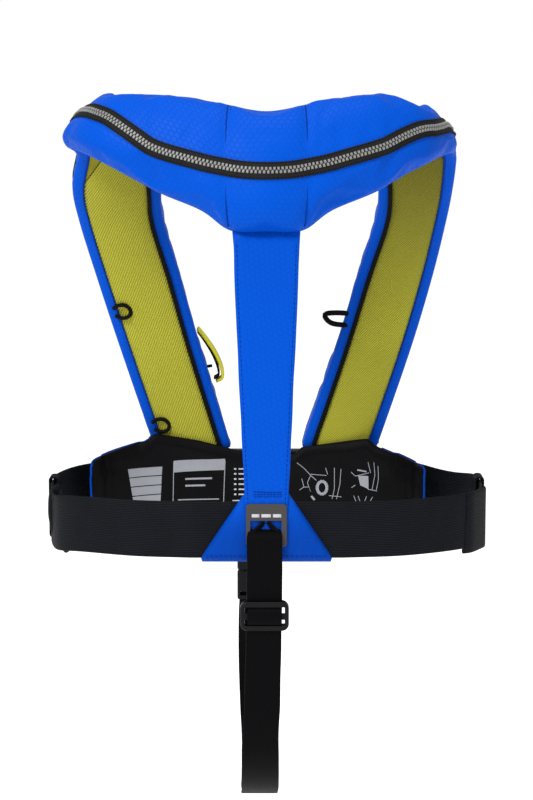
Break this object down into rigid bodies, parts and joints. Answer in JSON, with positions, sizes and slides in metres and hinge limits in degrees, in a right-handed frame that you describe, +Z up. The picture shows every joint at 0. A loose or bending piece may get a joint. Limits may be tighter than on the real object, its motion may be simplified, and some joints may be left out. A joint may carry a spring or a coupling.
{
  "type": "inflatable life jacket",
  "caption": "Junior inflatable life jacket with harness: padded collar and lobes that hold a folded bladder, waist belt, back strap and crotch strap.",
  "frame": {"origin": "middle of the collar's inner face, where it rests on the back of the neck", "axes": "+Z up the wearer's body, +Y the way the wearer faces, +X to the wearer's right"},
  "size_m": [0.359, 0.2592, 0.5793],
  "materials": {
    "cover_fabric": "woven polyester with a small honeycomb emboss, satin",
    "mesh_lining": "spacer mesh with fine diagonal ribs, matt",
    "bladder_film": "coated nylon film, satin",
    "zip_tape": "woven zip tape, matt",
    "zip_moulding": "moulded acetal teeth with a metallic grey tint, satin",
    "panel_fabric": "padded woven nylon, soft sheen",
    "label_print": "woven label with pale grey printed bars, matt",
    "webbing": "ribbed polyester webbing, matt",
    "black_plastic": "moulded nylon, fine spark texture",
    "ring_steel": "tumbled stainless steel",
    "inflator_plastic": "moulded nylon",
    "cartridge_plastic": "translucent moulded plastic",
    "bottle_metal": "zinc plated",
    "yellow_plastic": "soft moulded plastic",
    "black_cord": "braided elastic cord",
    "tube_rubber": "matt rubber",
    "whistle_plastic": "moulded plastic"
  },
  "bodies": {
    "root_jacket": {"collar_cover": "cover_fabric", "left_lobe_cover": "cover_fabric", "right_lobe_cover": "cover_fabric", "back_strap": "cover_fabric", "belt_sleeve": "cover_fabric", "neck_lining": "mesh_lining", "left_lobe_lining": "mesh_lining", "right_lobe_lining": "mesh_lining", "bladder": "bladder_film", "zip_upper_tape": "zip_tape", "zip_lower_tape": "zip_tape", "zip_teeth": "zip_moulding", "left_front_panel": "panel_fabric", "right_front_panel": "panel_fabric", "left_care_label": "label_print", "right_care_label": "label_print", "waist_belt_back": "webbing", "waist_belt_left": "webbing", "waist_belt_right": "webbing", "waist_belt_front_end": "webbing", "ring_loop": "webbing", "crotch_fold": "webbing", "crotch_strap_back": "webbing", "crotch_strap_front": "webbing", "crotch_front_tab": "webbing", "accessory_loop": "webbing", "belt_buckle_female": "black_plastic", "crotch_plate": "black_plastic", "crotch_buckle_female": "black_plastic", "lever_pin": "ring_steel", "whistle_pin": "ring_steel", "oral_spring": "ring_steel", "inflator_body": "inflator_plastic", "auto_cartridge": "cartridge_plastic", "upper_cord_loop": "black_cord", "lower_cord_loop": "black_cord", "oral_tube": "tube_rubber"},
    "zip_slider": {"zip_slider": "zip_moulding"},
    "zip_pull": {"zip_pull": "zip_moulding"},
    "lifting_ring": {"lifting_ring": "ring_steel"},
    "belt_buckle_male": {"belt_buckle_male": "black_plastic"},
    "crotch_buckle_male": {"crotch_buckle_male": "black_plastic"},
    "crotch_triglide": {"crotch_triglide": "black_plastic"},
    "left_belt_keeper": {"left_belt_keeper": "webbing"},
    "right_belt_keeper": {"right_belt_keeper": "webbing"},
    "pull_tab": {"pull_tab": "yellow_plastic", "pull_cord": "black_cord"},
    "firing_lever": {"firing_lever": "inflator_plastic"},
    "firing_pin": {"firing_pin": "ring_steel"},
    "gas_cylinder": {"gas_cylinder": "bottle_metal"},
    "oral_cap": {"oral_cap": "black_plastic"},
    "oral_valve": {"oral_valve": "black_plastic"},
    "whistle": {"whistle": "whistle_plastic"}
  },
  "joints": [
    {"name": "zip_slider_travel", "type": "slide", "parent": "root_jacket", "child": "zip_slider", "axis": [-0.2898, -0.1939, 0.9372], "range_m": [0, 0.06]},
    {"name": "zip_pull_swing", "type": "hinge", "parent": "zip_slider", "child": "zip_pull", "pos_m": [-0.107, 0.20854, -0.2234], "axis": [0.5502, 0.7675, 0.329], "range_deg": [0, 120]},
    {"name": "lifting_ring_swing", "type": "hinge", "parent": "root_jacket", "child": "lifting_ring", "pos_m": [-0.066, 0.1975, -0.276], "axis": [1, 0, 0], "range_deg": [0, 85]},
    {"name": "belt_buckle_release", "type": "slide", "parent": "root_jacket", "child": "belt_buckle_male", "axis": [1, 0, 0], "range_m": [0, 0.034], "deforming": ["waist_belt_front_end"]},
    {"name": "crotch_buckle_release", "type": "slide", "parent": "root_jacket", "child": "crotch_buckle_male", "axis": [0, 0, -1], "range_m": [0, 0.022], "deforming": ["crotch_strap_front"]},
    {"name": "crotch_triglide_slide", "type": "slide", "parent": "root_jacket", "child": "crotch_triglide", "axis": [0, 0, 1], "range_m": [-0.02, 0.02]},
    {"name": "left_keeper_slide", "type": "slide", "parent": "root_jacket", "child": "left_belt_keeper", "axis": [0, 1, 0], "range_m": [-0.005, 0.015]},
    {"name": "right_keeper_slide", "type": "slide", "parent": "root_jacket", "child": "right_belt_keeper", "axis": [0, 1, 0], "range_m": [-0.005, 0.011]},
    {"name": "pull_tab_pull", "type": "slide", "parent": "root_jacket", "child": "pull_tab", "axis": [0.2948, 0.2123, -0.9317], "range_m": [0, 0.022]},
    {"name": "firing_lever_turn", "type": "hinge", "parent": "root_jacket", "child": "firing_lever", "pos_m": [-0.08285, 0.17927, -0.16478], "axis": [0, 0.975, 0.2222], "range_deg": [0, 55.1]},
    {"name": "firing_pin_slide", "type": "slide", "parent": "root_jacket", "child": "firing_pin", "axis": [-0.2948, -0.2123, 0.9317], "range_m": [0, 0.003]},
    {"name": "gas_cylinder_turn", "type": "hinge", "parent": "root_jacket", "child": "gas_cylinder", "pos_m": [-0.1134, 0.16858, -0.11785], "axis": [-0.2948, -0.2123, 0.9317], "continuous": true},
    {"name": "oral_cap_pull", "type": "slide", "parent": "root_jacket", "child": "oral_cap", "axis": [0.2948, -0.2123, 0.9317], "range_m": [0, 0.014]},
    {"name": "oral_valve_press", "type": "slide", "parent": "root_jacket", "child": "oral_valve", "axis": [-0.2948, 0.2123, -0.9317], "range_m": [0, 0.002], "stiffness_N_per_m": 400, "springref_m": -0.0002, "deforming": ["oral_spring"]},
    {"name": "whistle_swing", "type": "hinge", "parent": "root_jacket", "child": "whistle", "pos_m": [0.07161, 0.17416, -0.15809], "axis": [0.9555, 0.0655, -0.2875], "range_deg": [0, 8]}
  ],
  "couplings": [
    {"joint": "firing_lever_turn", "follows": "pull_tab_pull", "rad_per_m": 43.6},
    {"joint": "firing_pin_slide", "follows": "pull_tab_pull", "ratio": 0.136}
  ]
}
